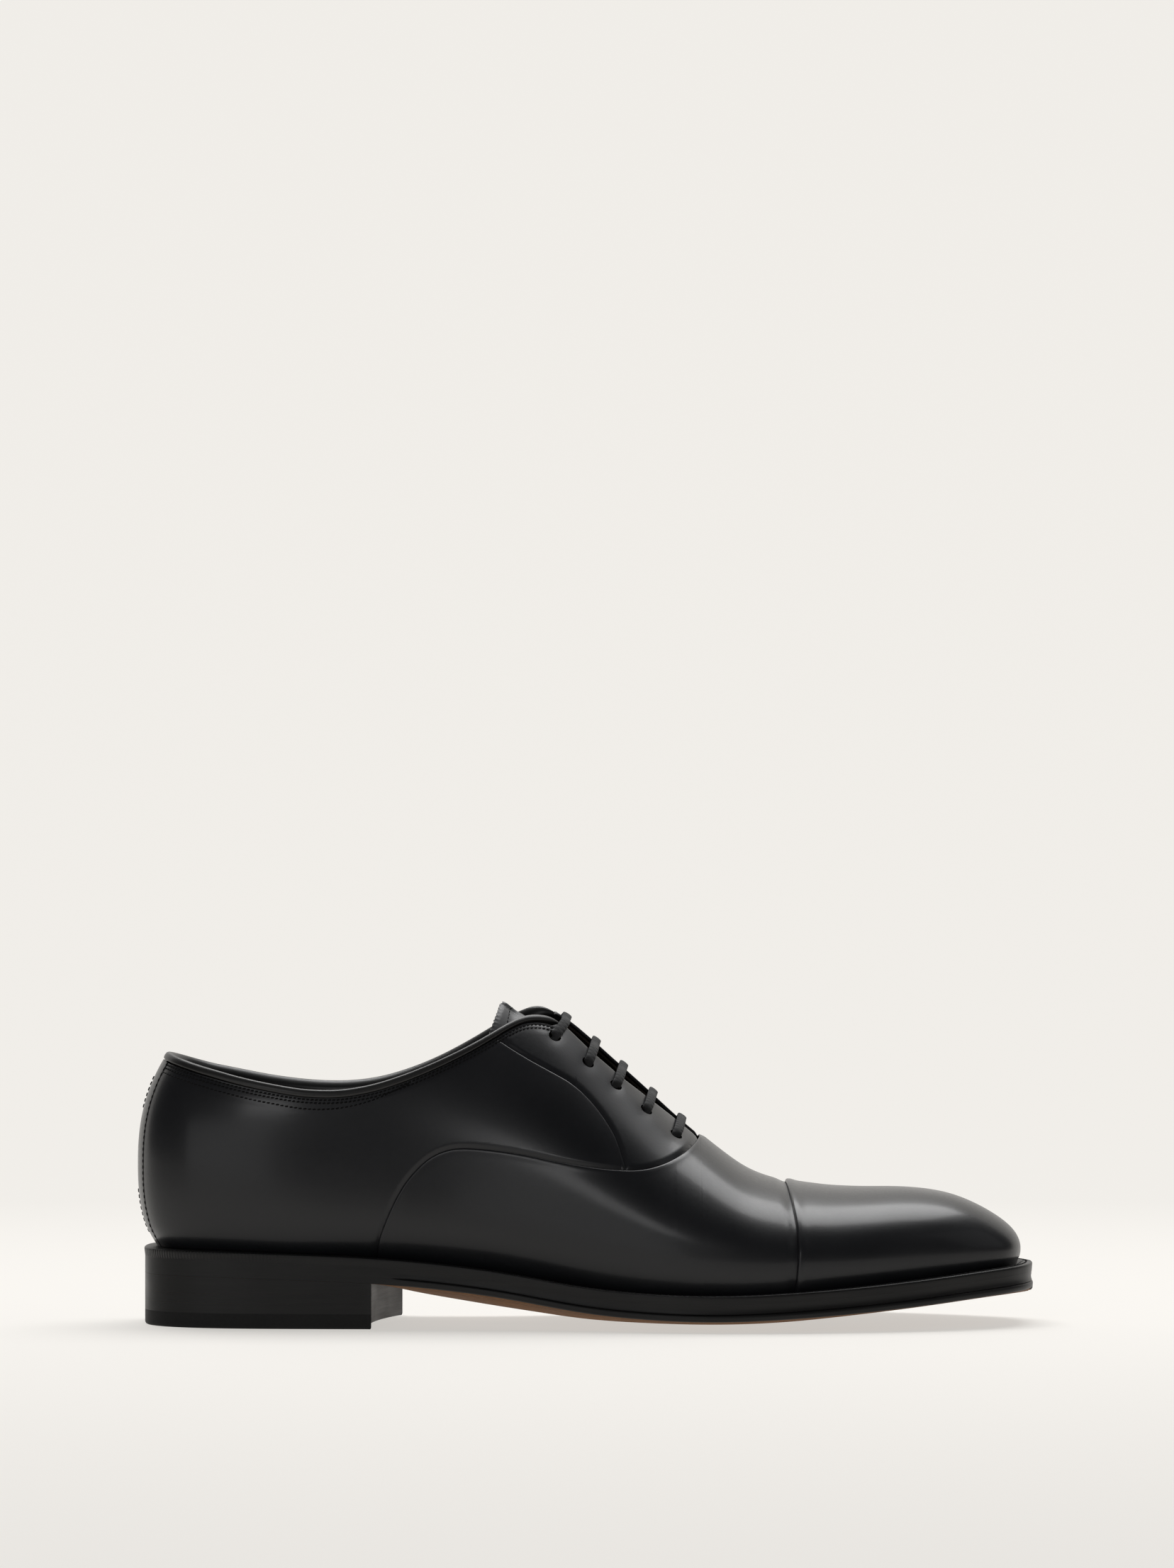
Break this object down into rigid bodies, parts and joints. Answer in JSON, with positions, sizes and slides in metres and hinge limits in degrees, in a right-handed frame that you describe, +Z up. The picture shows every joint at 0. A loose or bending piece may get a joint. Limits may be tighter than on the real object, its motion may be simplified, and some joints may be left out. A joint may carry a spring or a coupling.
{
  "type": "leather oxford shoe",
  "caption": "Black calf cap-toe oxford shoe, right foot, with closed straight-bar lacing, a welted leather sole and a stacked heel.",
  "frame": {"origin": "on the surface that the shoe stands on, under the middle of the shoe's box", "axes": "+X towards the toe, +Y towards the inner (medial) side of the foot, +Z up"},
  "size_m": [0.3016, 0.1044, 0.1095],
  "materials": {
    "calf_leather": "semi-gloss black calf",
    "cap_leather": "polished black calf",
    "lining_leather": "matt dark lining leather",
    "stiffener_board": "matt leather board",
    "eyelet_brass": "blind eyelet",
    "lace_cotton": "waxed black cotton braid",
    "aglet_plastic": "black film",
    "sole_leather": "waxed tan sole leather with black edges",
    "insole_leather": "natural vegetable-tanned leather",
    "cork": "pressed cork",
    "steel": "plain steel",
    "edge_leather": "black waxed edge",
    "heel_rubber": "satin rubber"
  },
  "bodies": {
    "shoe": {"toe_cap": "cap_leather", "vamp": "calf_leather", "quarter_lateral": "calf_leather", "facing_lateral": "calf_leather", "quarter_medial": "calf_leather", "facing_medial": "calf_leather", "back_strip": "calf_leather", "topline_binding": "calf_leather", "toe_puff": "stiffener_board", "heel_counter": "stiffener_board", "facing_stay_lateral": "stiffener_board", "facing_stay_medial": "stiffener_board", "vamp_lining": "lining_leather", "quarter_lining_lateral": "lining_leather", "quarter_lining_medial": "lining_leather", "heel_lining": "lining_leather", "eyelet_lateral_1": "eyelet_brass", "eyelet_lateral_2": "eyelet_brass", "eyelet_lateral_3": "eyelet_brass", "eyelet_lateral_4": "eyelet_brass", "eyelet_lateral_5": "eyelet_brass", "eyelet_medial_1": "eyelet_brass", "eyelet_medial_2": "eyelet_brass", "eyelet_medial_3": "eyelet_brass", "eyelet_medial_4": "eyelet_brass", "eyelet_medial_5": "eyelet_brass", "lace": "lace_cotton", "outsole": "sole_leather", "insole": "insole_leather", "sock_liner": "lining_leather", "welt": "edge_leather", "insole_rib": "insole_leather", "cork_filler": "cork", "shank": "steel", "top_piece": "heel_rubber", "heel_lift_1": "edge_leather", "heel_lift_2": "edge_leather", "heel_lift_3": "edge_leather", "heel_nail_1": "steel", "heel_nail_2": "steel", "heel_nail_3": "steel", "heel_nail_4": "steel", "heel_nail_5": "steel", "lace_end_lateral": "lace_cotton", "aglet_lateral": "aglet_plastic", "lace_end_medial": "lace_cotton", "aglet_medial": "aglet_plastic"},
    "tongue": {"tongue": "calf_leather", "tongue_lining": "lining_leather"}
  },
  "joints": [
    {"name": "tongue_hinge", "type": "hinge", "parent": "shoe", "child": "tongue", "pos_m": [0.0405, 0.0064, 0.0565], "axis": [0, 1, 0], "range_deg": [-12, 0]}
  ]
}
